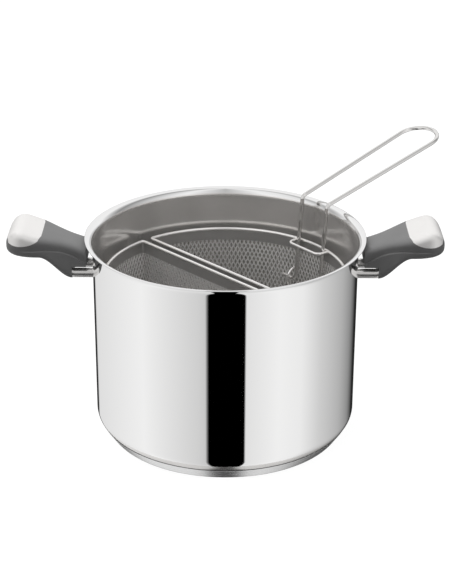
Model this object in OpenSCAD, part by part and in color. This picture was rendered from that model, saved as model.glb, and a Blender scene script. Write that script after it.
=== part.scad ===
// Stockpot with two half-moon strainer inserts and a wire lift handle.
// The origin is the middle of the pot's underside, +X runs along the two
// side handles, +Y points to the back and +Z is up. All sizes are in mm.

/* [Pot] */
// Inner diameter of the body
pot_inner_d = 240; // [200:1:280]
// Height from the underside to the top of the lip
pot_h = 190; // [180:1:230]
// Thickness of the body's sheet steel
wall = 1; // [0.8:0.1:1.6]
// How far the pouring lip stands out from the body
lip_reach = 6.7; // [4:0.1:8]
// Outer radius of the curve between the body and its floor
corner_r = 14; // [10:1:18]

/* [Base] */
// Thickness of the steel cup under the heat-spreading disc
capsule_t = 0.8; // [0.6:0.1:1.2]
// Thickness of the aluminium heat-spreading disc
core_t = 6.2; // [4:0.1:8]
// Height of the seam where the steel cup ends
seam_h = 11.2; // [10:0.1:14]
// How far the edge of the flat underside lies inside the body's outer surface
foot_inset = 10.5; // [9:0.5:16]
// How far the cup's edge stands out from the body at the seam
seam_step = 0.3; // [0.2:0.1:0.6]

/* [Side handles] */
// Diameter of the round steel arms
arm_d = 9; // [7:0.5:10]
// Distance between the middles of the two arms of a handle
arm_spread = 24; // [20:1:28]
// Distance from the top of the lip down to the middle of the arms
arm_drop = 33; // [31:1:40]
// Bend radius of the bracket, at the middle of its rod
arm_bend_r = 8; // [6:0.5:10]
// Bare length of the arms below the grip
arm_bare_l = 18; // [14:1:20]
// Gap between the body and the inner end of the grip
grip_gap = 5; // [4:0.5:8]
// Length of the grip
grip_l = 72.3; // [68:0.1:80]
// Width of the grip at its inner end
grip_inner_w = 37; // [36:1:44]
// Greatest width of the grip, near its outer end
grip_outer_w = 57; // [48:1:64]
// Height of the grip's top above the arms at its inner end
grip_inner_top = 24.4; // [22:0.2:27]
// Rise of the grip's top towards its outer end, in degrees
grip_rise = 19.4; // [16:0.2:24]
// Depth of the grip's heel below the middle of the arms
heel_drop = 5.1; // [5:0.1:8]
// Height of the grip's outer underside above the arms
grip_under = 16.6; // [16:0.1:20]
// Height of the grip's outermost point above the arms
tip_above = 25.1; // [23:0.1:28]
// Length along which the underside rises from the heel to the outer end
under_rise_l = 28.9; // [24:0.1:32]
// Length of the rounding of the grip's top at the tip
tip_top_l = 18; // [14:1:32]
// Length of the rounding of the grip's sides at the tip
tip_side_l = 20; // [14:1:24]
// Length of the rounding of the grip's underside at the tip
tip_under_l = 25; // [14:1:32]
// Height of the inner end's lower edge above the arms
notch_above = 8; // [6:0.5:10]

/* [Grip caps and screws] */
// Length of the steel cap along the grip
cap_l = 34; // [30:1:38]
// Width of the oval that rounds the cap's inner corners, seen from above
cap_oval_w = 80; // [70:1:100]
// Width of the plastic rim left bare at the tip
cap_rim = 1; // [0.5:0.1:3]
// Radius of the curve in which the cap's edge dips along the grip's sides
cap_dip_r = 30.4; // [26:0.2:40]
// Height of the lowest point of that curve above the arms
cap_dip_above = 31.4; // [30:0.2:34]
// Distance of that lowest point from the tip
cap_dip_in = 14.3; // [12:0.1:18]
// Thickness of the cap's sheet steel
cap_t = 1.2; // [0.8:0.1:1.6]
// Diameter of the grip screw's shank
screw_d = 3.5; // [3:0.5:4]
// Diameter of the grip screw's head
screw_head_d = 7; // [6:0.5:8]
// Height of the grip screw's head
screw_head_h = 1.6; // [1.2:0.1:2]
// Length of the grip screw's shank
screw_l = 9; // [7:0.5:9.5]
// Thickness of the grip between the screw's head and the crossbar
screw_land = 1.3; // [1:0.1:2]

/* [Inserts] */
// Turn of the inserts in the pot, in degrees
insert_turn = 43; // [0:1:60]
// Overall height of an insert
insert_h = 143.8; // [120:0.1:150]
// Gap between an insert and the pot's wall
side_gap = 7.5; // [5:0.5:12]
// Gap between the straight sides of the two inserts
divider_gap = 7; // [4:0.5:12]
// Clearance under an insert where it stands in the pot
floor_clearance = 0.3; // [0.2:0.1:0.5]
// Diameter of the rim wire
rim_wire_d = 3; // [2:0.5:4]
// Diameter of the foot wire
foot_wire_d = 3; // [2:0.5:4]
// Height of the plain band under the rim wire
band_h = 10; // [6:1:16]
// Thickness of the plain band
band_t = 0.8; // [0.6:0.1:1]

/* [Mesh] */
// Thickness of the mesh sheets
mesh_t = 0.6; // [0.5:0.1:0.8]
// Width of one diamond of the mesh, from strand to strand
mesh_w = 12.3; // [10:0.1:16]
// Height of one diamond of the mesh, from strand to strand
mesh_h = 25.8; // [20:0.1:30]
// Width of the strands between the diamonds
strand_w = 2.5; // [1.5:0.1:3]

/* [Handle fittings on the inserts] */
// Angle of the lift handle's place from the middle of the arc, in degrees
handle_place = -3.5; // [-8:0.5:8]
// Diameter of the keeper's wire
keeper_wire_d = 2.8; // [2:0.1:2.9]
// Width of the keeper, between the middles of its wires
keeper_w = 42; // [40:1:50]
// Depth of the keeper inwards from the rim wire's middle
keeper_depth = 15.5; // [14:0.5:20]
// Bend radius of the keeper's corners
keeper_bend_r = 6; // [4:0.5:8]
// Diameter of the eyes' wire
eye_wire_d = 2.5; // [2:0.5:3]
// Distance between the two eyes
eye_spread = 47; // [46:1:56]
// Radius of the eyes, at the middle of their wire
eye_r = 10.4; // [9.5:0.1:13]
// Height of the pins above the middle of the eyes
pin_above_eye = 0.8; // [-3:0.1:3]

/* [Lift handle] */
// Diameter of the lift handle's wire
handle_wire_d = 4; // [3.5:0.1:4.4]
// Distance between the legs at the upper bend
leg_spread = 34.2; // [32:0.1:34.6]
// Lean of the legs outwards, in degrees
leg_lean = 4.7; // [4:0.1:7]
// Height of the upper bend above the rim wire
bend_above = 45.2; // [40:0.2:60]
// Depth of the pins below the rim wire
pin_below = 39.6; // [30:0.1:45]
// Length of each pin from the middle of its leg
pin_l = 17.6; // [15:0.1:18]
// Bend radius of the handle's corners, at the middle of its wire
handle_bend_r = 5; // [4:0.5:7]
// Clearance between the legs and the rim wire they lean on
leg_clearance = 0.3; // [0.2:0.1:0.5]
// Length of the loop from the upper bend to its outer end
loop_l = 158.5; // [120:0.5:200]
// Rise of the loop above the horizontal, in degrees
loop_rise = 14.4; // [5:0.2:30]
// Spread of each side of the loop, in degrees
loop_splay = 1.6; // [0:0.1:3]

/* [Hidden] */
$fn = 96;
// Overlap that makes cutting shapes reach past a face
past = 1;
// Lap of straight wires over the start of each bend
lap = 0.2;
// Thinning of the bends, which keeps them just inside the laps
slim = 0.04;
// Number of outline points round the grip and of rings along it
GRIP_POINTS = 32;
GRIP_RINGS = 26;
// Squareness of the grip's upper and lower halves
TOP_SQUARENESS = 5.5;
UNDER_SQUARENESS = 3.2;
HEEL_SQUARENESS = 5;

body_r = pot_inner_d / 2 + wall;
foot_r = body_r - foot_inset;
floor_under_z = capsule_t + core_t;
lip_bend_r = lip_reach - wall / 2;
lip_z = pot_h - wall - lip_bend_r;
// Radius of the body's outer surface at the height of the seam
corner_z = floor_under_z + corner_r;
seam_body_r = body_r - corner_r + sqrt(pow(corner_r, 2) - pow(corner_z - seam_h, 2));
seam_r = seam_body_r + seam_step;

arm_z = pot_h - arm_drop;
grip_in_x = body_r + grip_gap;
grip_tip_x = grip_in_x + grip_l;
heel_x = body_r + arm_bare_l;
// The arms bend upwards just inside the heel and meet at the crossbar
bend_x = heel_x + 1;
crossbar_x = grip_tip_x - 0.48 * grip_l;
crossbar_z = arm_z + crossbar_x - bend_x;
screw_seat_z = crossbar_z - arm_d / 2 - screw_land;
screw_clearance = 0.4;

rim_r = pot_inner_d / 2 - side_gap - rim_wire_d / 2;
chord_y = (divider_gap + rim_wire_d) / 2;
// The foot wire stands on the floor, or on the body's curve where it reaches that far out
curve_reach = max(0, rim_r - (body_r - corner_r));
foot_wire_z = corner_z
    - sqrt(pow(corner_r - wall - foot_wire_d / 2 - floor_clearance, 2) - pow(curve_reach, 2));
rim_z = foot_wire_z - foot_wire_d / 2 + insert_h - rim_wire_d / 2;
band_low_z = rim_z - rim_wire_d / 2 - band_h;
mesh_low_z = foot_wire_z + foot_wire_d / 2;
mesh_height = band_low_z - mesh_low_z;

keeper_bar_r = rim_r - keeper_depth;
mesh_in_r = rim_r - mesh_t / 2;
pin_z = rim_z - pin_below;
eye_z = pin_z - pin_above_eye;
// Distance of the legs from the pot's axis where they lean on the rim wire
leg_rim_r = sqrt(pow(rim_r, 2) - pow(leg_spread / 2, 2))
    - (rim_wire_d + handle_wire_d) / 2 - leg_clearance;
pin_r = leg_rim_r - pin_below * tan(leg_lean);
bend_r = leg_rim_r + bend_above * tan(leg_lean);
bend_z = rim_z + bend_above;
// The loop's round end touches both of its splayed sides
loop_half = leg_spread / 2;
loop_end_r = (loop_half * cos(loop_splay) + loop_l * sin(loop_splay)) / (1 + sin(loop_splay));
loop_centre = loop_l - loop_end_r;
loop_side = loop_centre * cos(loop_splay) - loop_half * sin(loop_splay);

// General shapes

// Round bar between two points
module bar(a, b, d) {
    run = b - a;
    length = norm(run);
    translate(a) rotate([0, acos(run[2] / length), atan2(run[1], run[0])])
        cylinder(d = d, h = length);
}

// Direction of a vector, one unit long
function unit(v) = v / norm(v);

// Round bar bent at the corner p, on its way from a to b
module elbow(a, p, b, r, d) {
    u = unit(p - a);
    v = unit(b - p);
    turn = acos(u * v);
    inward = unit(v - u * (u * v));
    centre = p - u * r * tan(turn / 2) + inward * r;
    side = cross(-inward, u);
    multmatrix([
        [-inward[0], u[0], side[0], centre[0]],
        [-inward[1], u[1], side[1], centre[1]],
        [-inward[2], u[2], side[2], centre[2]]
    ])
        rotate_extrude(angle = turn) translate([r, 0]) circle(d = d - slim);
}

// Round bar through a list of points, with one bend radius for its corners
module bent_bar(points, r, d) {
    last = len(points) - 1;
    trims = [for (i = [0:last])
        i == 0 || i == last ? 0
            : r * tan(acos(unit(points[i] - points[i - 1]) * unit(points[i + 1] - points[i])) / 2)
                - lap];
    for (i = [0:last - 1]) {
        along = unit(points[i + 1] - points[i]);
        bar(points[i] + along * trims[i], points[i + 1] - along * trims[i + 1], d);
    }
    for (i = [1:last - 1])
        elbow(points[i - 1], points[i], points[i + 1], r, d);
}

// Piece of a round bar bent about +Z, from one angle to another
module bend(r, d, from, to) {
    rotate([0, 0, from]) rotate_extrude(angle = to - from) translate([r, 0]) circle(d = d);
}

// Solid body outline of the pot, drawn in from its outer surface
module pot_outline(inset) {
    r = body_r - inset;
    low = floor_under_z + inset;
    square_r = corner_r - inset;
    translate([0, low + square_r]) square([r, pot_h]);
    translate([0, low]) square([r - square_r, 2 * square_r]);
    translate([r - square_r, low + square_r]) circle(r = square_r);
}

// Pot

module lip_outline() {
    intersection() {
        translate([body_r + lip_bend_r, lip_z]) difference() {
            circle(r = lip_bend_r + wall);
            circle(r = lip_bend_r);
        }
        translate([body_r - wall, lip_z]) square([lip_bend_r + wall, lip_bend_r + wall]);
    }
    translate([body_r + lip_bend_r, pot_h - wall / 2]) circle(d = wall);
}

module pot_shell() {
    color("silver") rotate_extrude() {
        intersection() {
            difference() {
                pot_outline(0);
                pot_outline(wall);
            }
            square([body_r, lip_z]);
        }
        lip_outline();
    }
}

module capsule_outline(inset) {
    polygon([
        [0, inset], [foot_r - inset, inset],
        [seam_r - inset, seam_h], [0, seam_h]
    ]);
}

module base_capsule() {
    color("gainsboro") rotate_extrude() difference() {
        capsule_outline(0);
        capsule_outline(capsule_t);
        pot_outline(0);
    }
}

module base_core() {
    color("darkgray") rotate_extrude() difference() {
        capsule_outline(capsule_t);
        pot_outline(0);
    }
}

// Side handles, made on the +X side and mirrored to the other

module bracket_rod() {
    y = arm_spread / 2;
    bent_bar([
        [body_r - corner_r, y, arm_z], [bend_x, y, arm_z], [crossbar_x, y, crossbar_z],
        [crossbar_x, -y, crossbar_z], [bend_x, -y, arm_z], [body_r - corner_r, -y, arm_z]
    ], arm_bend_r, arm_d);
}

module screw_shank(d) {
    translate([crossbar_x, 0, screw_seat_z]) cylinder(d = d, h = screw_l);
}

module bracket() {
    color("silver") difference() {
        bracket_rod();
        cylinder(r = body_r, h = pot_h, $fn = 180);
        screw_shank(screw_d);
    }
}

module grip_screw() {
    color("dimgray") difference() {
        union() {
            screw_shank(screw_d);
            translate([crossbar_x, 0, screw_seat_z - screw_head_h])
                cylinder(d = screw_head_d, h = screw_head_h);
        }
        for (turn = [0, 90])
            translate([crossbar_x, 0, screw_seat_z - screw_head_h]) rotate([0, 0, turn])
                cube([screw_head_d * 0.6, screw_head_h * 0.4, screw_head_h], center = true);
    }
}

// Rise from 0 to 1 with a level start and end
function ease(t) = let (u = min(1, max(0, t))) u * u * (3 - 2 * u);
// Fall from 1 at x0 to 0 at x1, as a rounded end does
function rounded(x, x0, x1, power) =
    x <= x0 ? 1 : pow(max(0, 1 - pow(min(1, (x - x0) / (x1 - x0)), power)), 1 / power);
// Power of a signed number that keeps its sign
function signed_pow(v, p) = sign(v) * pow(abs(v), p);

function tip_z() = arm_z + tip_above;
// Share of the way from the narrow inner end to the wide outer end
function grip_growth(x) = ease((x - heel_x) / (0.58 * grip_l) + 0.12);
function grip_half_w(x, inset) =
    let (tip = grip_tip_x - inset)
    (grip_inner_w / 2 + (grip_outer_w - grip_inner_w) / 2 * grip_growth(x) - inset)
        * rounded(x, tip - tip_side_l, tip, 3);
function grip_top(x, inset) =
    let (tip = grip_tip_x - inset, line = grip_inner_top + (x - grip_in_x) * tan(grip_rise) - inset)
    tip_z() + (arm_z + line - tip_z()) * rounded(x, tip - tip_top_l, tip, 1.87);
function grip_bottom(x, inset) =
    let (tip = grip_tip_x - inset, lift = (heel_drop + grip_under) * ease((x - heel_x) / under_rise_l))
    tip_z() + (arm_z - heel_drop + lift + inset - tip_z()) * rounded(x, tip - tip_under_l, tip, 2);

// Points round the grip at one distance from the pot's axis
function grip_ring(x, inset) =
    let (
        w = grip_half_w(x, inset),
        top = grip_top(x, inset),
        low = grip_bottom(x, inset),
        half_h = (top - low) / 2,
        under = HEEL_SQUARENESS + (UNDER_SQUARENESS - HEEL_SQUARENESS) * grip_growth(x)
    )
    [for (i = [0:GRIP_POINTS - 1])
        let (
            a = 360 * i / GRIP_POINTS,
            p = 2 / (sin(a) >= 0 ? TOP_SQUARENESS : under)
        )
        [x, w * signed_pow(cos(a), p), low + half_h + half_h * signed_pow(sin(a), p)]];

module grip_body(inset) {
    start = grip_in_x + inset;
    length = grip_l - 2 * inset;
    rings = [for (k = [0:GRIP_RINGS - 1]) grip_ring(start + length * sin(90 * k / GRIP_RINGS), inset)];
    points = [
        for (ring = rings) for (p = ring) p,
        [start + length, 0, tip_z()]
    ];
    apex = GRIP_RINGS * GRIP_POINTS;
    last = (GRIP_RINGS - 1) * GRIP_POINTS;
    faces = [
        [for (i = [0:GRIP_POINTS - 1]) i],
        for (k = [0:GRIP_RINGS - 2]) for (i = [0:GRIP_POINTS - 1])
            let (a = k * GRIP_POINTS, j = (i + 1) % GRIP_POINTS)
            each [[a + i, a + GRIP_POINTS + i, a + GRIP_POINTS + j], [a + i, a + GRIP_POINTS + j, a + j]],
        for (i = [0:GRIP_POINTS - 1]) [last + i, apex, last + (i + 1) % GRIP_POINTS]
    ];
    polyhedron(points, faces, convexity = 6);
}

// Everything above the cap's edge: an oval seen from above, a shallow curve seen from the side
module above_cap_edge() {
    intersection() {
        translate([grip_tip_x - cap_rim - cap_l / 2, 0, arm_z]) linear_extrude(2 * cap_dip_above)
            scale([cap_l / cap_oval_w, 1]) circle(d = cap_oval_w);
        translate([grip_tip_x - cap_dip_in, 0, arm_z + cap_dip_above + cap_dip_r])
            rotate([90, 0, 0]) cylinder(r = cap_dip_r, h = 2 * cap_oval_w, center = true);
    }
}

module grip() {
    color("dimgray") difference() {
        grip_body(0);
        difference() {
            above_cap_edge();
            grip_body(cap_t);
        }
        translate([grip_in_x - past, -grip_outer_w, arm_z - grip_outer_w])
            cube([heel_x - grip_in_x + past, 2 * grip_outer_w, grip_outer_w + notch_above]);
        bracket_rod();
        screw_shank(screw_d);
        translate([crossbar_x, 0, screw_seat_z - grip_l])
            cylinder(d = screw_head_d + screw_clearance, h = grip_l);
    }
}

module grip_cap() {
    color("gainsboro") difference() {
        intersection() {
            grip_body(0);
            above_cap_edge();
        }
        grip_body(cap_t);
    }
}

// Inserts: each is made on the +X side, with its straight side along Y

// Turns its children to the place of the rear or the front insert
module at_insert(rear) {
    rotate([0, 0, insert_turn + (rear ? 0 : 180)]) children();
}

// Half the length of a chord across a circle
function half_chord(r, distance) = sqrt(pow(r, 2) - pow(distance, 2));

// Closed half-moon hoop: the straight wire is welded between the ends of the arc
module hoop(d, z) {
    half = half_chord(rim_r, chord_y);
    spread = atan2(half, chord_y) + asin(d / 2 / rim_r);
    translate([0, 0, z]) {
        bend(rim_r, d, -spread, spread);
        bar([chord_y, -half, 0], [chord_y, half, 0], d - slim);
    }
}

// Half-moon plate outline, drawn in from the wires' middle line
module half_moon(inset) {
    intersection() {
        circle(r = rim_r - inset);
        translate([chord_y + inset, -pot_inner_d]) square(2 * pot_inner_d);
    }
}

// Half-moon strip of sheet that stands on edge
module standing_strip(t, z, h) {
    translate([0, 0, z]) linear_extrude(h) difference() {
        half_moon(-t / 2);
        half_moon(t / 2);
    }
}

module rim_wire() {
    color("silver") hoop(rim_wire_d, rim_z);
}

module foot_wire() {
    color("silver") hoop(foot_wire_d, foot_wire_z);
}

// The band's upper edge follows the underside of the rim wire
module top_band() {
    color("gray") difference() {
        standing_strip(band_t, band_low_z, rim_z - band_low_z - rim_wire_d / 4);
        rim_wire();
    }
}

// One diamond opening
module diamond() {
    w = (mesh_w - strand_w) / 2;
    h = (mesh_h - strand_w) / 2;
    polygon([[w, 0], [0, h], [-w, 0], [0, -h]]);
}

// Staggered places of the diamonds that fit in half a width and a height
function diamond_places(half_w, height) =
    let (
        columns = floor((half_w - mesh_w / 2 - strand_w) / (mesh_w / 2)),
        rows = floor((height - mesh_h - 2 * strand_w) / (mesh_h / 2)),
        first = (height - rows * mesh_h / 2) / 2
    )
    [for (c = [-columns:columns]) for (r = [0:rows])
        if ((c + r) % 2 == 0) [c * mesh_w / 2, first + r * mesh_h / 2]];

module divider_mesh() {
    half = half_chord(mesh_in_r, chord_y + mesh_t / 2);
    color("darkgray") intersection() {
        translate([chord_y + mesh_t / 2, 0, mesh_low_z]) rotate([90, 0, -90]) linear_extrude(mesh_t)
            difference() {
                translate([-rim_r, 0]) square([2 * rim_r, mesh_height]);
                for (p = diamond_places(half, mesh_height))
                    translate(p) diamond();
            }
        cylinder(r = mesh_in_r, h = pot_h, $fn = 180);
    }
}

// Places on the mesh, by arc length and height, where the ends of the eyes are welded on
weld_places = [for (side = [-1, 1]) for (end = [-1, 1]) [
    (handle_place + side * asin(eye_spread / 2 / mesh_in_r)) * rim_r * PI / 180,
    eye_z + end * eye_r - mesh_low_z
]];

// Whether a diamond would leave an eye's end without support
function under_weld(p) = len([
    for (w = weld_places)
        if (abs(w[0] - p[0]) / (mesh_w / 2) + abs(w[1] - p[1]) / (mesh_h / 2) < 1.15) w
]) > 0;

module side_mesh() {
    spread = atan2(half_chord(rim_r, chord_y), chord_y);
    arc_half = rim_r * spread * PI / 180;
    color("darkgray") difference() {
        translate([0, 0, mesh_low_z]) linear_extrude(mesh_height) intersection() {
            difference() {
                circle(r = rim_r + mesh_t / 2, $fn = 180);
                circle(r = mesh_in_r, $fn = 180);
            }
            translate([chord_y - mesh_t / 2, -rim_r - past]) square(2 * rim_r + 2 * past);
        }
        for (p = diamond_places(arc_half, mesh_height))
            if (!under_weld(p))
                rotate([0, 0, p[0] / arc_half * spread])
                    translate([mesh_in_r - past, 0, mesh_low_z + p[1]])
                        rotate([90, 0, 90]) linear_extrude(mesh_t + 2 * past) diamond();
    }
}

// The floor sits against the inside of the foot wire
module floor_mesh() {
    inset = foot_wire_d / 2;
    rows = floor(rim_r / mesh_w);
    color("darkgray") translate([0, 0, foot_wire_z - mesh_t / 2]) linear_extrude(mesh_t)
        difference() {
            half_moon(inset);
            intersection() {
                half_moon(inset + strand_w);
                for (c = [0:2 * rows]) for (r = [-2 * rows:2 * rows])
                    if ((c + r) % 2 == 0)
                        translate([chord_y + inset + strand_w + (c + 1) * mesh_h / 2, r * mesh_w / 2])
                            rotate([0, 0, 90]) diamond();
            }
        }
}

// Turns its children to the lift handle's place on the insert
module at_handle() {
    rotate([0, 0, handle_place]) children();
}

// The keeper's ends are welded to the inside of the rim wire
module keeper() {
    y = keeper_w / 2;
    end_x = half_chord(rim_r, y);
    color("silver") difference() {
        at_handle() translate([0, 0, rim_z]) bent_bar(
            [[end_x, y, 0], [keeper_bar_r, y, 0], [keeper_bar_r, -y, 0], [end_x, -y, 0]],
            keeper_bend_r, keeper_wire_d
        );
        rim_wire();
    }
}

// The eyes' ends are welded to the inside of the mesh
module eye(side) {
    y = side * eye_spread / 2;
    x = half_chord(mesh_in_r, eye_spread / 2);
    color("silver") difference() {
        at_handle() {
            translate([x, y, eye_z]) rotate([90, 0, 0]) bend(eye_r, eye_wire_d - slim, 90, 270);
            for (z = [eye_z - eye_r, eye_z + eye_r])
                bar([x - lap, y, z], [x + eye_wire_d, y, z], eye_wire_d);
        }
        difference() {
            cylinder(r = 2 * rim_r, h = pot_h);
            cylinder(r = mesh_in_r, h = pot_h, $fn = 180);
        }
    }
}

// Point on one side of the loop, at a distance along its slope from the upper bend
function loop_point(along, across) =
    [bend_r + along * cos(loop_rise), across, bend_z + along * sin(loop_rise)];

module lift_handle() {
    end_along = (loop_side + lap) * cos(loop_splay);
    end_across = loop_half + (loop_side + lap) * sin(loop_splay);
    color("silver") at_handle() {
        for (side = [-1, 1])
            bent_bar([
                [pin_r, side * (loop_half + pin_l), pin_z], [pin_r, side * loop_half, pin_z],
                [bend_r, side * loop_half, bend_z], loop_point(end_along, side * end_across)
            ], handle_bend_r, handle_wire_d);
        translate([bend_r, 0, bend_z]) rotate([0, -loop_rise, 0]) translate([loop_centre, 0, 0])
            bend(loop_end_r, handle_wire_d - slim, -90 - loop_splay, 90 + loop_splay);
    }
}

pot_shell();
base_core();
base_capsule();
bracket();  // right_bracket
grip();  // right_grip
grip_cap();  // right_grip_cap
grip_screw();  // right_grip_screw
mirror([1, 0, 0]) bracket();  // left_bracket
mirror([1, 0, 0]) grip();  // left_grip
mirror([1, 0, 0]) grip_cap();  // left_grip_cap
mirror([1, 0, 0]) grip_screw();  // left_grip_screw
at_insert(true) rim_wire();  // rear_rim_wire
at_insert(true) top_band();  // rear_top_band
at_insert(true) side_mesh();  // rear_side_mesh
at_insert(true) divider_mesh();  // rear_divider_mesh
at_insert(true) floor_mesh();  // rear_floor_mesh
at_insert(true) foot_wire();  // rear_foot_wire
at_insert(true) keeper();  // rear_keeper
at_insert(true) eye(1);  // rear_left_eye
at_insert(true) eye(-1);  // rear_right_eye
at_insert(false) rim_wire();  // front_rim_wire
at_insert(false) top_band();  // front_top_band
at_insert(false) side_mesh();  // front_side_mesh
at_insert(false) divider_mesh();  // front_divider_mesh
at_insert(false) floor_mesh();  // front_floor_mesh
at_insert(false) foot_wire();  // front_foot_wire
at_insert(false) keeper();  // front_keeper
at_insert(false) eye(1);  // front_left_eye
at_insert(false) eye(-1);  // front_right_eye
at_insert(true) lift_handle();
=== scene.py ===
"""Looks of a pasta pot: mirror-polished body, steel-capped grips and two half-moon wire inserts.

The scene is in metres, in the frame of the CAD model: the pot stands on the floor
at the origin, its side handles lie along X, and the camera looks towards +Y. Sizes
of the pot's pieces are given in millimetres.
"""
import math

import bpy
from mathutils import Matrix, Vector


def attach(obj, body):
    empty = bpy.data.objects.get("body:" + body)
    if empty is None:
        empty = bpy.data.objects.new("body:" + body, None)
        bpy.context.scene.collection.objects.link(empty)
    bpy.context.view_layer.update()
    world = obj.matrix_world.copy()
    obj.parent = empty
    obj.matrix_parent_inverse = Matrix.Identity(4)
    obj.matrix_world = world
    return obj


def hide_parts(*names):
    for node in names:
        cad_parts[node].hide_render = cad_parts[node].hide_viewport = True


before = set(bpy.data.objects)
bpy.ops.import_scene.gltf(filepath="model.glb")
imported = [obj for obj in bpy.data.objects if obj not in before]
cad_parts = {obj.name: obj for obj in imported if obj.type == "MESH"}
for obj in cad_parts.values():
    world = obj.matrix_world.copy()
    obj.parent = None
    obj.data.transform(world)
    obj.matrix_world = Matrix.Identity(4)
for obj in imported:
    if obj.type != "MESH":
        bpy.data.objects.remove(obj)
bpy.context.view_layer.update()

MM = 0.001

# Vertices nearer to each other than this are one, in metres
WELD = 0.00002

# Camera: place in metres, tilt below the horizon and roll in degrees, lens in millimetres
CAMERA_PLACE = (0.00067, -1.32662, 0.72361)
CAMERA_DOWN = 24.011
CAMERA_ROLL = 0.207
LENS = 97.04

# Edges of the black panel in front of the pot, in degrees from the camera's side
BLACK_LEFT = -15.2
BLACK_RIGHT = 17.3

# Pot, in millimetres: the body with its lip, and the steel cup of the base
BODY_R = 121
WALL = 1
POT_H = 190
CORNER_R = 14
FLOOR_UNDER = 7
LIP_BEND = 6.2
SEAM_Z = 11.2
SEAM_R = 117.45
FOOT_R = 110.5

# Brackets of round rod: two arms out of the wall, joined by a crossbar inside the grip
ARM_R = 4.5
ARM_Y = 12
ARM_Z = 157
ARM_IN = 119.82
ARM_BEND_X = 140
ARM_BEND_R = 8
CROSSBAR_X = 163.6
CROSSBAR_Z = ARM_Z + CROSSBAR_X - ARM_BEND_X

# Grips, from the pot's lip out to the tip; the rise of their top is in degrees
GRIP_IN = 126
GRIP_TIP = 198.3
TIP_Z = 182.1
TIP_ROUND_SIDE = 20
TIP_ROUND_TOP = 18
TIP_ROUND_LOW = 25
GRIP_HALF_W = 18.5
GRIP_SPREAD = 10
GRIP_SPREAD_L = 41.9
INNER_TOP_Z = ARM_Z + 24.4
GRIP_RISE = 19.4
HEEL_X = 139
HEEL_LOW_Z = ARM_Z - 5.1
HEEL_CUT_Z = 165
UNDER_RISE = 21.7
UNDER_RISE_L = 28.9
CREASE_X = 168
CREASE_Z = 183
CREASE_FALL = 0.009
TUCK = 1.3
TUCK_H = 8
TUCK_END_X = 192
TUCK_FADE_L = 22
SCREW_HOLE_R = 3.7
SCREW_HOLE_Z = 174.8

# Steel caps over the grips' ends: their edge is an oval seen from above and dips seen from the side
CAP_L = 34
CAP_W = 80
CAP_RIM = 1
CAP_SHEET = 1.2
CAP_DIP_R = 30.4
CAP_DIP_X = GRIP_TIP - 14.3
CAP_DIP_Z = ARM_Z + 31.4

# Inserts: half-moons that stand back to back, turned in degrees from the grips' line
RIM_R = 111
CHORD = 5
CORNER_BEND = 2.5
RIM_Z = 151.34
FOOT_WIRE_Z = 10.54
BAND_LOW = 139.84
BAND_T = 0.7
HOOP_WIRE_R = 1.5
INSERT_TURN = 43

# Diamond mesh: one opening's width and height, half a strand, and the strands' raised middle
MESH_W = 4.1
MESH_H = 8.6
STRAND = 0.65
STRAND_RAISED = 0.45
MESH_LOW = FOOT_WIRE_Z + 1
MESH_TOP = BAND_LOW + 0.5

# Keeper and eyes that hold the lift handle, turned in degrees from the insert's middle
HANDLE_TURN = -3.5
KEEPER_WIRE_R = 1.4
KEEPER_HALF = 21
KEEPER_IN = 95.5
KEEPER_BEND = 6
KEEPER_END = 1.2
EYE_WIRE_R = 1.25
EYE_HALF = 23.5
EYE_R = 10.4
EYE_Z = 110.94
EYE_END = 0.2
INSIDE_MESH_R = 110.7

# Lift handle: two legs with pins at their feet, bent back into a long loop; angles in degrees
HANDLE_WIRE_R = 2
LEG_HALF = 17.1
LEG_GAP = 3.8
LEG_LEAN = 4.7
LEG_UP = 45.2
LEG_BEND = 5
PIN_DOWN = 39.6
PIN_L = 17.6
LOOP_L = 158.5
LOOP_RISE = 14.4
LOOP_SPLAY = 1.6


# Shader nodes

class Value:
    """A node's output that takes part in sums."""

    def __init__(self, shading, socket):
        self.shading = shading
        self.socket = socket

    def maths(self, operation, first, second=0.0):
        """Adds a Math node on values and numbers."""
        return self.shading.node("ShaderNodeMath", {"operation": operation}, {0: first, 1: second})

    def __add__(self, other):
        return self.maths("ADD", self, other)

    def __radd__(self, other):
        return self.maths("ADD", other, self)

    def __sub__(self, other):
        return self.maths("SUBTRACT", self, other)

    def __rsub__(self, other):
        return self.maths("SUBTRACT", other, self)

    def __mul__(self, other):
        return self.maths("MULTIPLY", self, other)

    def __rmul__(self, other):
        return self.maths("MULTIPLY", other, self)

    def __truediv__(self, other):
        return self.maths("DIVIDE", self, other)

    def __pow__(self, other):
        return self.maths("POWER", self, other)

    def __gt__(self, other):
        return self.maths("GREATER_THAN", self, other)

    def __lt__(self, other):
        return self.maths("LESS_THAN", self, other)


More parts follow.
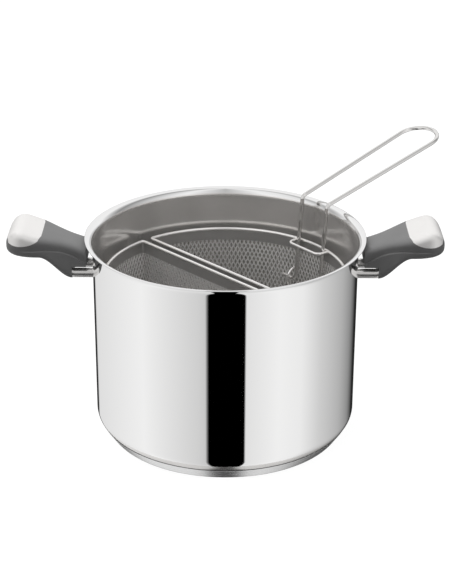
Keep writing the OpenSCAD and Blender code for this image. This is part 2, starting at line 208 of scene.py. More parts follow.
class Shading:
    """The node tree of a material, or of the world."""

    def __init__(self, tree):
        self.tree = tree
        tree.nodes.clear()

    def node(self, kind, settings=None, inputs=None, output=0):
        """Adds a node: its settings first, then the values or links of its sockets."""
        node = self.tree.nodes.new(kind)
        for name, value in (settings or {}).items():
            if name == "stops":
                ramp = node.color_ramp
                for _ in value[2:]:
                    ramp.elements.new(0.5)
                for element, (place, level) in zip(ramp.elements, value):
                    element.position = place
                    element.color = (level, level, level, 1)
            else:
                setattr(node, name, value)
        for name, value in (inputs or {}).items():
            if isinstance(value, Value):
                self.tree.links.new(value.socket, node.inputs[name])
            else:
                node.inputs[name].default_value = value
        return Value(self, node.outputs[output]) if node.outputs else None

    def place(self, kind="Object"):
        """The object coordinates, or another kind, and their three parts."""
        place = self.node("ShaderNodeTexCoord", output=kind)
        parts = [self.node("ShaderNodeSeparateXYZ", inputs={0: place}, output=i) for i in range(3)]
        return [place] + parts

    def share(self, value, start, end):
        """Rises from 0 where the value is at the start to 1 where it is at the end."""
        ends = {"From Min": start, "From Max": end}
        return self.node("ShaderNodeMapRange", inputs={"Value": value, **ends})

    def noise(self, place, scale, detail, stretch=(1, 1, 1)):
        """Noise in object coordinates, stretched along the axes."""
        moved = self.node("ShaderNodeMapping", inputs={"Vector": place, "Scale": stretch})
        values = {"Vector": moved, "Scale": scale, "Detail": detail}
        return self.node("ShaderNodeTexNoise", inputs=values)

    def blend(self, share, first, second):
        """A colour between two others."""
        kind = {"data_type": "RGBA"}
        return self.node("ShaderNodeMix", kind, {0: share, 6: first, 7: second}, output=2)


def grey(level, warmth=0.0):
    """A nearly neutral linear colour; warmth is how much red leads blue."""
    return (level * (1 + warmth), level, level * (1 - warmth), 1)


# Finishes

def new_finish(name):
    """A new material and its empty node tree."""
    material = bpy.data.materials.new(name)
    material.use_nodes = True
    return material, Shading(material.node_tree)


def finish_with(shading, **inputs):
    """Ends a material in a Principled shader."""
    names = {key.replace("_", " ").title().replace("Ior", "IOR"): value for key, value in inputs.items()}
    shader = shading.node("ShaderNodeBsdfPrincipled", inputs=names)
    shading.node("ShaderNodeOutputMaterial", inputs={"Surface": shader})


def bump(shading, height, strength, distance):
    """Normals that follow a height; the distance is in metres."""
    values = {"Height": height, "Strength": strength, "Distance": distance}
    return shading.node("ShaderNodeBump", inputs=values)


def polished_pot():
    """Mirror-polished outside, circular brushing inside."""
    material, shading = new_finish("polished pot steel")
    place, x, y, z = shading.place()
    radius = (x * x + y * y) ** 0.5
    inside = (radius < (BODY_R - WALL / 2) * MM) * (z > (FLOOR_UNDER + WALL / 2) * MM)
    # Rings run round the pot, because the noise is squeezed along the height and the radius
    rings = shading.node("ShaderNodeCombineXYZ", inputs={0: x * 14, 1: y * 14, 2: (z + radius) * 1900})
    brushing = shading.node("ShaderNodeTexNoise", inputs={"Vector": rings, "Scale": 1.0, "Detail": 3.0})
    smudges = shading.noise(place, 18, 3)
    streaks = shading.noise(place, 30, 1, (1, 1, 0.05))
    rough = 0.015 + smudges * 0.03
    brushed = shading.blend(streaks, grey(0.70, 0.02), grey(0.95, 0.02))
    finish_with(
        shading,
        base_color=shading.blend(inside, grey(0.86, 0.002), brushed),
        metallic=1 - inside * 0.2,
        roughness=rough + inside * (0.12 + brushing * 0.1),
        normal=bump(shading, brushing * inside, 0.05, 0.0002),
    )
    return material


def plain_steel(name, level, roughness, grain, scale, stretch=(1, 1, 1), depth=0.1, gloss=1.0):
    """Steel with a fine grain; stretch gives the grain its direction, and less gloss a duller face."""
    material, shading = new_finish(name)
    place = shading.place()[0]
    fine = shading.noise(place, scale, 4, stretch)
    clouds = shading.noise(place, 25, 2)
    finish_with(
        shading,
        base_color=shading.blend(clouds, grey(level * 0.93, 0.015), grey(level, 0.015)),
        metallic=gloss,
        roughness=roughness + grain * fine,
        normal=bump(shading, fine, depth, 0.0001),
    )
    return material


def capsule_steel():
    """Satin band round the base, turned on a lathe, with painted shade along its seam under the body."""
    material, shading = new_finish("base capsule steel")
    x, y, z = shading.place()[1:]
    rings = shading.node("ShaderNodeCombineXYZ", inputs={0: x * 9, 1: y * 9, 2: z * 2600})
    turning = shading.node("ShaderNodeTexNoise", inputs={"Vector": rings, "Scale": 1.0, "Detail": 2.0})
    # Painted shade: the cup's top edge, where it meets the body, is coloured nearly black
    seam_shade = z > (SEAM_Z - 0.25) * MM
    finish_with(
        shading,
        base_color=shading.blend(seam_shade, grey(0.88), grey(0.12)),
        metallic=1.0,
        roughness=0.2 + turning * 0.12,
        normal=bump(shading, turning, 0.08, 0.0002),
    )
    return material


def grip_plastic():
    """Dark grey plastic with a fine moulded grain and faint clouds."""
    material, shading = new_finish("grip plastic")
    place = shading.place()[0]
    grain = shading.noise(place, 2600, 2)
    clouds = shading.noise(place, 60, 3)
    finish_with(
        shading,
        base_color=shading.blend(clouds, grey(0.145), grey(0.175)),
        roughness=0.42 + grain * 0.16,
        specular_ior_level=0.4,
        normal=bump(shading, grain, 0.3, 0.0001),
    )
    return material


# Camera, world, floor and lamps

def add_camera():
    """Puts the camera where the photograph was taken from."""
    down = Matrix.Rotation(math.radians(90 - CAMERA_DOWN), 4, "X")
    roll = Matrix.Rotation(math.radians(CAMERA_ROLL), 4, "Z")
    bpy.ops.object.camera_add(location=CAMERA_PLACE, rotation=(down @ roll).to_euler())
    camera = bpy.context.object
    camera.name = "camera"
    camera.data.sensor_fit = "VERTICAL"
    camera.data.sensor_height = 36
    camera.data.lens = LENS
    camera.data.clip_end = 50
    bpy.context.scene.camera = camera


def at(angle):
    """Place on the panels' ramp of an angle from the camera's side, in degrees."""
    return (angle + 180) / 360


def add_world():
    """White for the camera, plain light for dull surfaces, and panels round the pot for gloss."""
    world = bpy.data.worlds.new("studio")
    world.use_nodes = True
    bpy.context.scene.world = world
    shading = Shading(world.node_tree)
    x, y, z = shading.place("Generated")[1:]
    around = x.maths("ARCTAN2", x, 0 - y) / (2 * math.pi) + 0.5
    # Panels that the upright wall shows: pale ones, one black in front and thin dark ones behind
    low = shading.node("ShaderNodeValToRGB", {"stops": [
        (at(-180), 0.55), (at(-171), 0.5), (at(-168), 0.02), (at(-157), 0.02), (at(-153), 0.8),
        (at(-76), 1.0), (at(-23), 0.72), (at(-16), 0.66), (at(BLACK_LEFT), 0.0),
        (at(BLACK_RIGHT), 0.0), (at(18), 0.86), (at(48), 1.0), (at(70), 0.95), (at(92), 0.70),
        (at(121), 0.50), (at(140), 0.3), (at(155), 0.02), (at(170), 0.02), (at(173), 0.5),
        (at(180), 0.55),
    ]}, {0: around})
    # Panels overhead, for the lip, the wires and the caps
    high = shading.node("ShaderNodeValToRGB", {"stops": [
        (0.0, 0.95), (0.12, 1.0), (0.2, 0.45), (0.27, 0.85), (0.4, 1.0), (0.5, 0.55), (0.6, 1.0),
        (0.72, 0.6), (0.8, 0.3), (0.88, 1.0), (1.0, 0.95),
    ]}, {0: around})
    under = shading.share(z, -0.8, -0.95)
    up = shading.share(z, -0.1, 0.2)
    # The black panel runs on down to the floor and to the foot of the pot
    black = (around > at(BLACK_LEFT)) * (around < at(BLACK_RIGHT))
    foot = (z < -0.86) * (x.maths("ABSOLUTE", x) < 0.1)
    below = shading.blend(foot, shading.blend(under * (1 - black), low, grey(0.8)), grey(0.0))
    panels = shading.blend(up, below, high)
    # Dull surfaces get plain light that falls off from overhead to the horizon
    plain = shading.blend(shading.share(z, 0.0, 1.0), grey(0.05), grey(1.15))
    glossy_ray = shading.node("ShaderNodeLightPath", output="Is Glossy Ray")
    camera_ray = shading.node("ShaderNodeLightPath", output="Is Camera Ray")
    lit = shading.blend(glossy_ray, plain, panels)
    seen = shading.blend(camera_ray, lit, grey(1.0))
    background = shading.node("ShaderNodeBackground", inputs={0: seen, 1: 1.0})
    shading.node("ShaderNodeOutputWorld", inputs={"Surface": background})


def add_floor():
    """Pale floor that shows white round the pot and keeps its soft shadow."""
    bpy.ops.mesh.primitive_plane_add(size=12, location=(0, 0, -0.2 * MM))
    floor = bpy.context.object
    floor.name = "floor"
    material, shading = new_finish("pale floor")
    camera = shading.node("ShaderNodeLightPath", output="Is Camera Ray")
    colour = shading.blend(camera, grey(0.12), grey(0.9))
    paint = shading.node("ShaderNodeBsdfDiffuse", inputs={"Color": colour})
    light = shading.node("ShaderNodeEmission", inputs={"Color": grey(1.0), "Strength": 1.12})
    mixed = shading.node("ShaderNodeMixShader", inputs={0: camera * 0.8, 1: paint, 2: light})
    shading.node("ShaderNodeOutputMaterial", inputs={"Surface": mixed})
    floor.data.materials.append(material)
    floor.visible_glossy = False


def add_lamp(name, place, size, power):
    """Soft square lamp that points at the pot."""
    turn = (Vector((0, 0, 0.12)) - Vector(place)).to_track_quat("-Z", "Y").to_euler()
    bpy.ops.object.light_add(type="AREA", location=place, rotation=turn)
    lamp = bpy.context.object
    lamp.name = name
    lamp.data.size = size
    lamp.data.energy = power
    lamp.visible_glossy = False


# Modelling steps

def edit_all(action="SELECT"):
    """Opens the mesh for editing, with all of it selected or none."""
    bpy.ops.object.mode_set(mode="EDIT")
    bpy.ops.mesh.select_mode(type="VERT")
    bpy.ops.mesh.select_all(action=action)


def object_mode():
    """Ends the editing of the mesh."""
    bpy.ops.object.mode_set(mode="OBJECT")


def face_outward():
    """Turns all faces of the mesh outward and ends its editing."""
    bpy.ops.mesh.select_all(action="SELECT")
    bpy.ops.mesh.normals_make_consistent(inside=False)
    object_mode()


def only(piece):
    """Selects one object and nothing else."""
    bpy.ops.object.select_all(action="DESELECT")
    piece.select_set(True)
    bpy.context.view_layer.objects.active = piece


def line(name, points, closed=False):
    """Draws a line of vertices through points in millimetres."""
    bpy.ops.object.select_all(action="DESELECT")
    points = [Vector(p) * MM for p in points]
    bpy.ops.mesh.primitive_plane_add(size=0.01, location=(0, 0, 0))
    piece = bpy.context.object
    piece.name = name
    edit_all()
    bpy.ops.mesh.merge(type="CENTER")
    bpy.ops.transform.translate(value=points[0])
    for start, end in zip(points, points[1:] + points[:1] * closed):
        bpy.ops.mesh.extrude_region_move(TRANSFORM_OT_translate={"value": end - start})
    if closed:
        bpy.ops.mesh.select_all(action="SELECT")
        bpy.ops.mesh.remove_doubles(threshold=WELD)
    object_mode()
    return piece


def lathe(name, outline, steps):
    """Spins an outline of (radius, height) round the pot's axis."""
    piece = line(name, [(r, 0, z) for r, z in outline])
    edit_all()
    bpy.ops.mesh.spin(steps=steps, angle=2 * math.pi, center=(0, 0, 0), axis=(0, 0, 1))
    bpy.ops.mesh.select_all(action="SELECT")
    bpy.ops.mesh.remove_doubles(threshold=WELD)
    face_outward()
    smooth(piece)
    return piece


def wire(name, points, radius, closed=False):
    """Draws round wire through points in millimetres."""
    piece = line(name, points, closed)
    only(piece)
    bpy.ops.object.convert(target="CURVE")
    piece = bpy.context.object
    piece.data.bevel_depth = radius * MM
    piece.data.bevel_resolution = 5
    piece.data.use_fill_caps = True
    bpy.ops.object.convert(target="MESH")
    piece = bpy.context.object
    edit_all()
    face_outward()
    smooth(piece)
    return piece


def smooth(piece, angle=40):
    """Shades a piece smooth, but for edges sharper than an angle in degrees."""
    only(piece)
    bpy.ops.object.shade_smooth_by_angle(angle=math.radians(angle))


def apply_modifier(piece, kind, **settings):
    """Adds a modifier with its settings and makes its result the mesh."""
    only(piece)
    bpy.ops.object.modifier_add(type=kind)
    modifier = piece.modifiers[-1]
    for name, value in settings.items():
        setattr(modifier, name, value)
    bpy.ops.object.modifier_apply(modifier=modifier.name)


def move(piece, **settings):
    """Sets a piece's location, rotation or scale, and makes that part of its mesh."""
    only(piece)
    for name, value in settings.items():
        setattr(piece, name, value)
    bpy.ops.object.transform_apply(location=True, rotation=True, scale=True)


def turn_about_z(piece, degrees):
    """Turns a finished mesh about the pot's axis."""
    move(piece, rotation_euler=(0, 0, math.radians(degrees)))


def mirror_x(piece):
    """Mirrors a finished mesh to the pot's other side."""
    move(piece, scale=(-1, 1, 1))
    edit_all()
    face_outward()


def combine(piece, cutter, operation):
    """Combines a piece with another, which is then removed."""
    apply_modifier(piece, "BOOLEAN", operation=operation, object=cutter, solver="EXACT")
    bpy.data.objects.remove(cutter)


def soften(piece, width, angle):
    """Rounds edges sharper than an angle in degrees, by a width in millimetres."""
    limit = {"limit_method": "ANGLE", "angle_limit": math.radians(angle)}
    apply_modifier(piece, "BEVEL", width=width * MM, segments=2, **limit)
    smooth(piece, 50)


def cylinder(radius, depth, place, vertices, turn=(0, 0, 0)):
    """Adds a cylinder; radius, depth and place are in millimetres."""
    bpy.ops.object.select_all(action="DESELECT")
    bpy.ops.mesh.primitive_cylinder_add(
        vertices=vertices, radius=radius * MM, depth=depth * MM,
        location=[size * MM for size in place], rotation=turn,
    )
    return bpy.context.object


def box(low, high):
    """Adds a box between two corners in millimetres."""
    low, high = Vector(low) * MM, Vector(high) * MM
    bpy.ops.object.select_all(action="DESELECT")
    bpy.ops.mesh.primitive_cube_add(size=1, location=(low + high) / 2, scale=high - low)
    return bpy.context.object


def copy_of(piece, name):
    """Duplicates a finished mesh."""
    only(piece)
    bpy.ops.object.duplicate()
    copy = bpy.context.object
    copy.name = name
    return copy


def arc(centre, radius, start, end, steps):
    """Points (a, b) on an arc, from one angle to another in degrees."""
    return [
        (centre[0] + radius * math.cos(math.radians(start + (end - start) * i / steps)),
         centre[1] + radius * math.sin(math.radians(start + (end - start) * i / steps)))
        for i in range(steps + 1)
    ]


def bent(points, radius, steps=10):
    """A path with its inner corners rounded to one radius."""
    points = [Vector(p) for p in points]
    path = [points[0]]
    for before, corner, after in zip(points, points[1:], points[2:]):
        u = (corner - before).normalized()
        v = (after - corner).normalized()
        turn = u.angle(v)
        inward = (v - u * u.dot(v)).normalized()
        centre = corner - u * radius * math.tan(turn / 2) + inward * radius
        for i in range(steps + 1):
            angle = turn * i / steps
            path.append(centre - inward * radius * math.cos(angle) + u * radius * math.sin(angle))
    return path + [points[-1]]


def dress(piece, finish, body, node):
    """Gives a piece its finish and its body, and hides the CAD node that it stands for."""
    piece.data.materials.clear()
    piece.data.materials.append(finish)
    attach(piece, body)
    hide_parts(node)


# The pot

def pot_body():
    """Body of one sheet, with a rounded corner at the floor and a rolled pouring lip.

    Points on the straight stretches only keep the faces short.
    """
    r, inner = BODY_R, BODY_R - WALL
    corner = (r - CORNER_R, FLOOR_UNDER + CORNER_R)
    lip = (r + LIP_BEND, POT_H - WALL - LIP_BEND)
    outline = [(0, FLOOR_UNDER), (60, FLOOR_UNDER), (corner[0] - 2, FLOOR_UNDER)]
    outline += arc(corner, CORNER_R, -90, 0, 14)
    outline += [(r, corner[1] + 1), (r, 60), (r, 120), (r, lip[1] - 1)]
    outline += arc(lip, LIP_BEND, 180, 90, 14)
    outline += arc((lip[0], POT_H - WALL / 2), WALL / 2, -60, 60, 4)
    outline += arc(lip, LIP_BEND + WALL, 90, 180, 14)
    outline += [(inner, lip[1] - 1), (inner, 120), (inner, 60), (inner, corner[1] + 1)]
    outline += arc(corner, CORNER_R - WALL, 0, -90, 12)
    outline += [(corner[0] - 2, FLOOR_UNDER + WALL), (60, FLOOR_UNDER + WALL), (0, FLOOR_UNDER + WALL)]
    return lathe("pot_body", outline, 288)


def base_cup():
    """Steel cup of the base, with a rounded foot and a rolled edge at the seam."""
    outline = [(0, 0), (60, 0), (FOOT_R - 2.2, 0), (FOOT_R - 1.0, 0.1), (FOOT_R - 0.2, 0.55)]
    outline += [(FOOT_R + 0.35, 1.2), (FOOT_R + 0.9, 2.0)]
    outline += [(SEAM_R - 0.5, SEAM_Z - 0.95), (SEAM_R - 0.1, SEAM_Z - 0.35), (SEAM_R - 0.3, SEAM_Z)]
    outline += [(SEAM_R - 1.0, SEAM_Z - 0.1), (SEAM_R - 1.3, SEAM_Z - 0.8), (FOOT_R, 1.2), (0, 0.8)]
    return lathe("base_cup", outline, 288)


def bracket():
    """Bent rod: out of the wall, up to the crossbar and back."""
    path = [(ARM_IN, ARM_Y, ARM_Z), (ARM_BEND_X, ARM_Y, ARM_Z), (CROSSBAR_X, ARM_Y, CROSSBAR_Z)]
    path += [(x, -y, z) for x, y, z in reversed(path)]
    return wire("bracket", bent(path, ARM_BEND_R), ARM_R)


# The grips

def ease(share):
    """Goes from 0 to 1 with a soft start and a soft end."""
    share = min(1, max(0, share))
    return share * share * (3 - 2 * share)


def rounded(x, start, end, power):
    """Falls from 1 at the start to 0 at the end, as a rounded end does."""
    if x <= start:
        return 1
    return max(0, 1 - min(1, (x - start) / (end - start)) ** power) ** (1 / power)


def grip_point(x, angle):
    """A point of the grip's skin, at a distance from the pot's axis and an angle round the grip."""
    growth = ease((x - HEEL_X) / GRIP_SPREAD_L + 0.12)
    width = (GRIP_HALF_W + GRIP_SPREAD * growth) * rounded(x, GRIP_TIP - TIP_ROUND_SIDE, GRIP_TIP, 3)
    top = INNER_TOP_Z + (x - GRIP_IN) * math.tan(math.radians(GRIP_RISE))
    low = HEEL_LOW_Z + UNDER_RISE * ease((x - HEEL_X) / UNDER_RISE_L)
    top = TIP_Z + (top - TIP_Z) * rounded(x, GRIP_TIP - TIP_ROUND_TOP, GRIP_TIP, 1.87)
    low = TIP_Z + (low - TIP_Z) * rounded(x, GRIP_TIP - TIP_ROUND_LOW, GRIP_TIP, 2)
    middle, half = (top + low) / 2, max(0.01, (top - low) / 2)
    # One line of the grid runs along the crease in each flank
    crease = min(top - 6, CREASE_Z - CREASE_FALL * max(0, CREASE_X - x) ** 2)
    shift = math.atan((crease - middle) / half) * ease((GRIP_TIP - x) / 12) * math.cos(angle) ** 2
    angle += math.copysign(shift, shift * math.cos(angle))
    c, s = math.cos(angle), math.sin(angle)
    # A rounded box: the higher the power, the tighter its corners
    power = 5.5 if s >= 0 else 5 - 1.8 * growth
    reach = (abs(c) ** power + abs(s) ** power) ** (-1 / power)
    z = middle + reach * s * half
    # Just above the crease the flank is tucked in, less and less towards the tip
    tuck = 0
    if z > crease + 0.1:
        tuck = TUCK * ease((TUCK_END_X - x) / TUCK_FADE_L) * (1 - ease((z - crease) / TUCK_H))
    return x, math.copysign(max(0, abs(reach * c * width) - tuck), c), z


def grip_skin():
    """The grip's whole closed skin: a grid laid round it, ring by ring."""
    bpy.ops.object.select_all(action="DESELECT")
    bpy.ops.mesh.primitive_grid_add(x_subdivisions=70, y_subdivisions=144, size=1)
    skin = bpy.context.object
    for vertex in skin.data.vertices:
        along, around = vertex.co.x + 0.5, vertex.co.y + 0.5
        x = GRIP_IN + (GRIP_TIP - GRIP_IN) * math.sin(math.pi / 2 * along)
        vertex.co = Vector(grip_point(x, 2 * math.pi * around)) * MM
    edit_all()
    bpy.ops.mesh.remove_doubles(threshold=0.00003)
    bpy.ops.mesh.select_all(action="DESELECT")
    bpy.ops.mesh.select_non_manifold(extend=False)
    bpy.ops.mesh.edge_face_add()
    face_outward()
    return skin


def cap_space():
    """The space above the cap's edge: an oval seen from above, a shallow curve seen from the side."""
    dip = cylinder(CAP_DIP_R, 120, (CAP_DIP_X, 0, CAP_DIP_Z + CAP_DIP_R), 128, (math.pi / 2, 0, 0))
    middle = (GRIP_TIP - CAP_RIM - CAP_L / 2, 0, CAP_DIP_Z)
    space = cylinder(CAP_W / 2, 2 * (CAP_DIP_Z - ARM_Z), middle, 160)
    move(space, scale=(CAP_L / CAP_W, 1, 1))
    combine(space, dip, "INTERSECT")
    return space


def grip():
    """Plastic grip: the skin, cut out for the cap, for the arms at the heel and for the screw."""
    piece = grip_skin()
    piece.name = "grip"
    combine(piece, cap_space(), "DIFFERENCE")
    combine(piece, box((HEEL_X - 23, -30, HEEL_CUT_Z - 50), (HEEL_X, 30, HEEL_CUT_Z)), "DIFFERENCE")
    hole = cylinder(SCREW_HOLE_R, 60, (CROSSBAR_X, 0, SCREW_HOLE_Z - 30), 40)
    combine(piece, hole, "DIFFERENCE")
    soften(piece, 0.5, 55)
    return piece


def grip_cap():
    """The skin inside the cap's edge, given the thickness of sheet steel."""
    piece = grip_skin()
    piece.name = "grip_cap"
    # Two material slots tell the skin's faces from those of the cut, which are deleted
    only(piece)
    for _ in range(2):
        bpy.ops.object.material_slot_add()
    edit_all()
    piece.active_material_index = 1
    bpy.ops.object.material_slot_assign()
    object_mode()
    combine(piece, cap_space(), "INTERSECT")
    only(piece)
    edit_all("DESELECT")
    bpy.ops.mesh.select_mode(type="FACE")
    piece.active_material_index = 0
    bpy.ops.object.material_slot_select()
    bpy.ops.mesh.delete(type="FACE")
    bpy.ops.mesh.select_all(action="SELECT")
    bpy.ops.object.material_slot_assign()
    object_mode()
    apply_modifier(piece, "SOLIDIFY", thickness=CAP_SHEET * MM, offset=-1)
    soften(piece, 0.3, 60)
    return piece


# The inserts, made on the +X side and turned to their places

def half_moon():
    """Outline of an insert: the arc first, then the straight side."""
    centre_r, centre_x = RIM_R - CORNER_BEND, CHORD + CORNER_BEND
    half = math.degrees(math.acos(centre_x / centre_r))
    centre_y = math.sqrt(centre_r ** 2 - centre_x ** 2)
    corner = arc((centre_x, centre_y), CORNER_BEND, half, 180, 8)[1:]
    return arc((0, 0), RIM_R, -half, half, 96) + corner + [(x, -y) for x, y in reversed(corner)]


def hoop(name, z):
    """Closed ring of wire round an insert."""
    return wire(name, [(x, y, z) for x, y in half_moon()], HOOP_WIRE_R, closed=True)


def band():
    """Plain strip of sheet under the rim wire."""
    piece = line("band", [(x, y, BAND_LOW) for x, y in half_moon()], closed=True)
    only(piece)
    edit_all()
    up = (0, 0, (RIM_Z - 1 - BAND_LOW) * MM)
    bpy.ops.mesh.extrude_region_move(TRANSFORM_OT_translate={"value": up})
    face_outward()
    apply_modifier(piece, "SOLIDIFY", thickness=BAND_T * MM, offset=0)
    smooth(piece)
    return piece


def mesh_sheet(name, width, height):
    """Flat sheet of diamond mesh in the XY plane: one diamond is made, then repeated."""
    bpy.ops.object.select_all(action="DESELECT")
    bpy.ops.mesh.primitive_circle_add(vertices=4, radius=1, fill_type="NGON")
    sheet = bpy.context.object
    sheet.name = name
    edit_all()
    bpy.ops.transform.resize(value=(MESH_W / 2 * MM, MESH_H / 2 * MM, 1))
    bpy.ops.mesh.inset(thickness=STRAND * MM, use_even_offset=True)
    bpy.ops.mesh.delete(type="FACE")
    object_mode()
    # The outer edge of the diamond is the middle of the strands, raised to a ridge
    for vertex in sheet.data.vertices:
        across, upward = abs(vertex.co.x) / (MESH_W / 2 * MM), abs(vertex.co.y) / (MESH_H / 2 * MM)
        if across + upward > 0.99:
            vertex.co.z = STRAND_RAISED * MM
    apply_modifier(sheet, "MIRROR", use_axis=(False, False, True), merge_threshold=0.00001)
    columns = math.ceil(width / MESH_W) + 1
    rows = math.ceil(height / MESH_H) + 1
    for count, step in ((2, (MESH_W / 2, MESH_H / 2)), (columns, (MESH_W, 0)), (rows, (0, MESH_H))):
        apply_modifier(
            sheet, "ARRAY", count=count, use_relative_offset=False, use_constant_offset=True,
            constant_offset_displace=(step[0] * MM, step[1] * MM, 0),
        )
    only(sheet)
    edit_all()
    bpy.ops.mesh.remove_doubles(threshold=WELD)
    bpy.ops.mesh.normals_make_consistent(inside=False)
    middle = Vector((columns * MESH_W / 2 - MESH_W / 4, rows * MESH_H / 2 - MESH_H / 4, 0)) * MM
    bpy.ops.transform.translate(value=-middle)
    object_mode()
    return sheet


def trim(sheet, place, way):
    """Cuts away all that lies beyond a plane."""
    only(sheet)
    edit_all()
    bpy.ops.mesh.bisect(plane_co=place, plane_no=way, clear_outer=True)
    object_mode()


def upright_mesh(name, width):
    """Upright sheet between the foot wire and the band, trimmed to its width."""
    height = MESH_TOP - MESH_LOW
    sheet = mesh_sheet(name, width, height)
    for way in ((1, 0, 0), (-1, 0, 0), (0, 1, 0), (0, -1, 0)):
        trim(sheet, Vector((way[0] * width, way[1] * height, 0)) / 2 * MM, way)
    move(sheet, rotation_euler=(math.pi / 2, 0, 0))
    return sheet


def set_up(sheet, away):
    """Moves an upright sheet out from the pot's axis, then turns it to the insert's +X side."""
    move(sheet, location=(0, -away * MM, (MESH_LOW + MESH_TOP) / 2 * MM))
    turn_about_z(sheet, 90)
    return sheet


def side_mesh():
    """The round side: a flat sheet bent to the insert's radius."""
    half = math.acos(CHORD / RIM_R)
    sheet = upright_mesh("side_mesh", 2 * half * RIM_R)
    apply_modifier(sheet, "SIMPLE_DEFORM", deform_method="BEND", deform_axis="Z", angle=2 * half)
    return set_up(sheet, RIM_R)


def divider_mesh():
    """The straight side."""
    return set_up(upright_mesh("divider_mesh", 2 * math.sqrt(RIM_R ** 2 - CHORD ** 2)), CHORD)


def floor_mesh():
    """The floor, cut to the half-moon inside the foot wire."""
    sheet = mesh_sheet("floor_mesh", 2 * RIM_R, RIM_R)
    move(sheet, location=(0, (RIM_R / 2 + 1) * MM, FOOT_WIRE_Z * MM))
    trim(sheet, (0, (CHORD + 1) * MM, 0), (0, -1, 0))
    # A cut every 6 degrees leaves the round side
    for i in range(31):
        angle = math.radians(6 * i)
        way = Vector((math.cos(angle), math.sin(angle), 0))
        trim(sheet, way * (RIM_R - 1) * MM, way)
    turn_about_z(sheet, -90)
    return sheet


def at_handle(points):
    """Turns points to the lift handle's place on the insert."""
    turn = Matrix.Rotation(math.radians(HANDLE_TURN), 3, "Z")
    return [turn @ Vector(p) for p in points]


def keeper():
    """Wire bent into a flat U at the rim, round the legs of the handle."""
    # Its ends stop just inside the rim wire's middle
    end = math.sqrt(RIM_R ** 2 - KEEPER_HALF ** 2) - KEEPER_END
    path = [(end, KEEPER_HALF, RIM_Z), (KEEPER_IN, KEEPER_HALF, RIM_Z)]
    path += [(x, -y, z) for x, y, z in reversed(path)]
    return wire("keeper", at_handle(bent(path, KEEPER_BEND)), KEEPER_WIRE_R)


def eye(side):
    """Half ring of wire on the inside of the mesh, which holds one pin of the handle."""
    x = math.sqrt(INSIDE_MESH_R ** 2 - EYE_HALF ** 2)
    # Its ends run on a little into the mesh
    path = [(x + EYE_END, EYE_Z + EYE_R)]
    path += arc((x, EYE_Z), EYE_R, 90, 270, 24)
    path += [(x + EYE_END, EYE_Z - EYE_R)]
    return wire("eye", at_handle([(px, side * EYE_HALF, pz) for px, pz in path]), EYE_WIRE_R)


def lift_handle():
    """One wire: a pin, a leg, the long loop, and the other leg and pin."""
    lean, rise, splay = math.radians(LEG_LEAN), math.radians(LOOP_RISE), math.radians(LOOP_SPLAY)
    leg = math.sqrt(RIM_R ** 2 - LEG_HALF ** 2) - LEG_GAP
    pin_x, pin_z = leg - PIN_DOWN * math.tan(lean), RIM_Z - PIN_DOWN
    bend_x, bend_z = leg + LEG_UP * math.tan(lean), RIM_Z + LEG_UP
    end_r = (LEG_HALF * math.cos(splay) + LOOP_L * math.sin(splay)) / (1 + math.sin(splay))
    turn = 90 + LOOP_SPLAY
    loop = [
        (bend_x + a * math.cos(rise), b, bend_z + a * math.sin(rise))
        for a, b in arc((LOOP_L - end_r, 0), end_r, -turn, turn, 36)
    ]
    legs = [
        (pin_x, -LEG_HALF - PIN_L, pin_z), (pin_x, -LEG_HALF, pin_z),
        (bend_x, -LEG_HALF, bend_z), loop[0],
    ]
    left = bent(legs, LEG_BEND)[:-1]
    right = [Vector((p.x, -p.y, p.z)) for p in reversed(left)]
    return wire("lift_handle", at_handle(left + loop + right), HANDLE_WIRE_R)


# Everything together

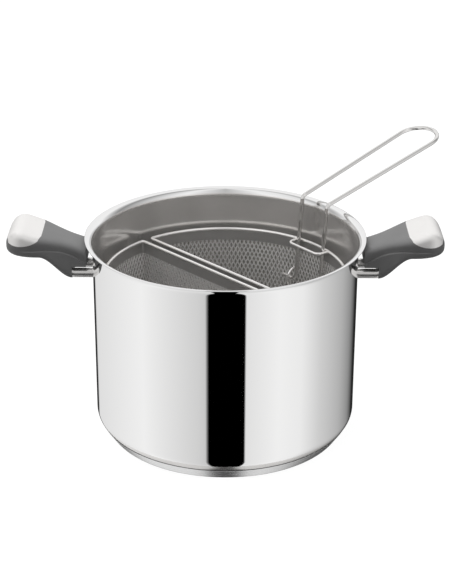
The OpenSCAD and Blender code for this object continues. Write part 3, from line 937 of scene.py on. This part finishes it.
def main():
    """Builds the scene: camera, light, finishes, and every piece on its body."""
    bpy.context.scene.view_settings.view_transform = "Standard"
    add_camera()
    add_world()
    add_floor()
    add_lamp("key lamp", (-0.5, 0.5, 1.9), 1.0, 21)
    add_lamp("fill lamp", (-0.9, -1.2, 0.9), 0.6, 2)

    pot_steel = polished_pot()
    capsule = capsule_steel()
    rod = plain_steel("satin rod", 0.78, 0.2, 0.1, 900, (0.05, 1, 1), depth=0.0, gloss=0.9)
    cap_steel = plain_steel("satin cap steel", 0.86, 0.42, 0.1, 700, (1, 0.08, 1), gloss=0.65)
    wire_steel = plain_steel("polished wire", 0.95, 0.12, 0.08, 300, depth=0.02, gloss=0.85)
    handle_steel = plain_steel("polished handle wire", 0.8, 0.06, 0.05, 300, depth=0.02)
    mesh_steel = plain_steel("pressed mesh steel", 0.75, 0.24, 0.1, 400, depth=0.0, gloss=0.5)
    band_steel = plain_steel("plain band steel", 0.5, 0.3, 0.06, 200, depth=0.0, gloss=0.75)
    core = plain_steel("core aluminium", 0.5, 0.35, 0.1, 300)
    plastic = grip_plastic()

    dress(pot_body(), pot_steel, "pot", "pot_shell")
    dress(base_cup(), capsule, "pot", "base_capsule")

    for side in ("right", "left"):
        for part, node, finish, slot in (
            (bracket(), "bracket", rod, "brushed_rod"),
            (grip(), "grip", plastic, "grip_plastic"),
            (grip_cap(), "grip_cap", cap_steel, "cap_steel"),
        ):
            part.name = side + "_" + node + "_look"
            if side == "left":
                mirror_x(part)
            dress(part, finish, "pot", side + "_" + node)

    parts = {
        "rim_wire": (hoop("rim_wire", RIM_Z), wire_steel, "wire_steel"),
        "foot_wire": (hoop("foot_wire", FOOT_WIRE_Z), wire_steel, "wire_steel"),
        "top_band": (band(), band_steel, "mesh_steel"),
        "side_mesh": (side_mesh(), mesh_steel, "mesh_steel"),
        "divider_mesh": (divider_mesh(), mesh_steel, "mesh_steel"),
        "floor_mesh": (floor_mesh(), mesh_steel, "mesh_steel"),
        "keeper": (keeper(), wire_steel, "wire_steel"),
        "left_eye": (eye(1), wire_steel, "wire_steel"),
        "right_eye": (eye(-1), wire_steel, "wire_steel"),
    }
    for place, turn in (("rear", INSERT_TURN), ("front", INSERT_TURN + 180)):
        for node, (part, finish, slot) in parts.items():
            piece = copy_of(part, place + "_" + node + "_look")
            turn_about_z(piece, turn)
            dress(piece, finish, place + "_insert", place + "_" + node)
    for part, *_ in parts.values():
        bpy.data.objects.remove(part)

    handle = lift_handle()
    turn_about_z(handle, INSERT_TURN)
    handle.name = "lift_handle_look"
    dress(handle, handle_steel, "handle", "lift_handle")

    for node, finish in (("base_core", core), ("right_grip_screw", rod), ("left_grip_screw", rod)):
        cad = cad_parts[node]
        cad.data.materials.clear()
        cad.data.materials.append(finish)


main()
